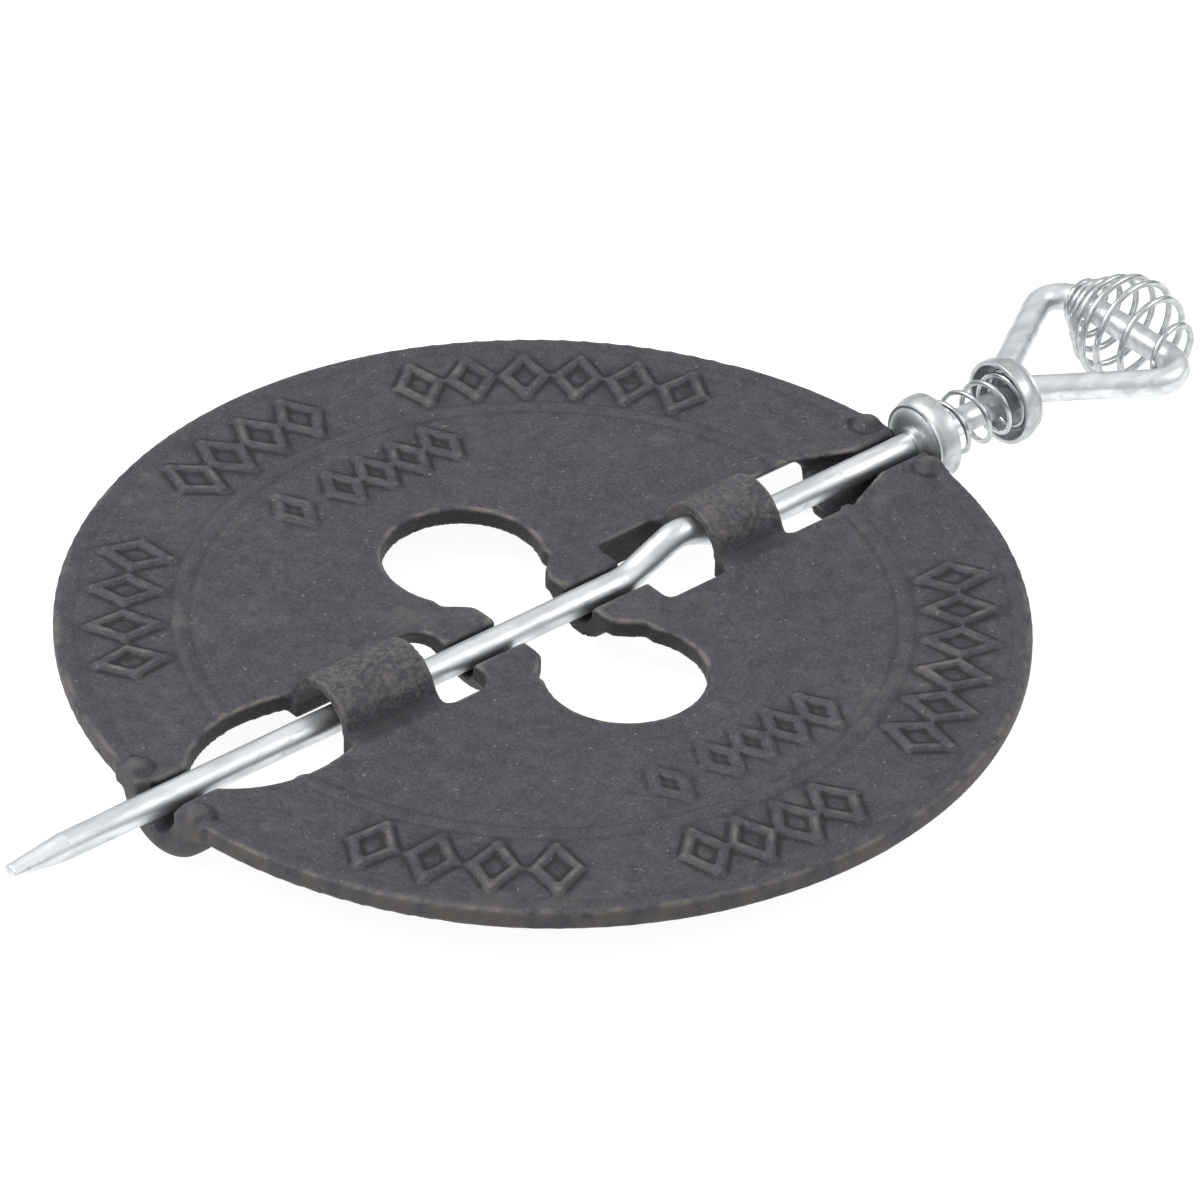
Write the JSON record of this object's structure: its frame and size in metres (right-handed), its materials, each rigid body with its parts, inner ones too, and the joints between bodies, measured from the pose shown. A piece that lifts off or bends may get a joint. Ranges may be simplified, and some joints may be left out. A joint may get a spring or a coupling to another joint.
{
  "type": "stovepipe damper",
  "caption": "Round cast plate that turns in a flue pipe on a bent steel rod, with a spring between two cups and a wire coil grip.",
  "frame": {"origin": "the plate's centre, on the axis of the rod", "axes": "+X along the rod towards the handle, +Z square to the plate on the side of its bridges, +Y in the plate, square to the rod"},
  "size_m": [0.3101, 0.1968, 0.0252],
  "materials": {
    "cast_iron": "rough sand cast, dark bluish grey",
    "zinc_rod": "zinc plated, satin",
    "zinc_cup": "zinc plated, pressed",
    "spring_wire": "zinc plated spring wire",
    "grip_wire": "zinc plated spring wire"
  },
  "bodies": {
    "seat": {"spring_seat": "zinc_cup"},
    "cup": {"retaining_cup": "zinc_cup", "compression_spring": "spring_wire"},
    "rod": {"handle_rod": "zinc_rod"},
    "plate": {"damper_plate": "cast_iron"},
    "grip": {"grip_coil": "grip_wire"}
  },
  "joints": [
    {"name": "handle_push", "type": "slide", "parent": "seat", "child": "cup", "axis": [1, 0, 0], "range_m": [-0.008, 0], "stiffness_N_per_m": 2000, "springref_m": 0.008, "deforming": ["compression_spring"]},
    {"name": "damper_turn", "type": "hinge", "parent": "cup", "child": "rod", "pos_m": [0.1297, 0, 0], "axis": [1, 0, 0], "continuous": true},
    {"name": "plate_slip", "type": "slide", "parent": "rod", "child": "plate", "axis": [1, 0, 0], "range_m": [0, 0.008]},
    {"name": "grip_spin", "type": "hinge", "parent": "rod", "child": "grip", "pos_m": [0.1635, 0, 0], "axis": [0, 1, 0], "continuous": true}
  ],
  "couplings": [
    {"joint": "plate_slip", "follows": "handle_push", "ratio": -1}
  ]
}
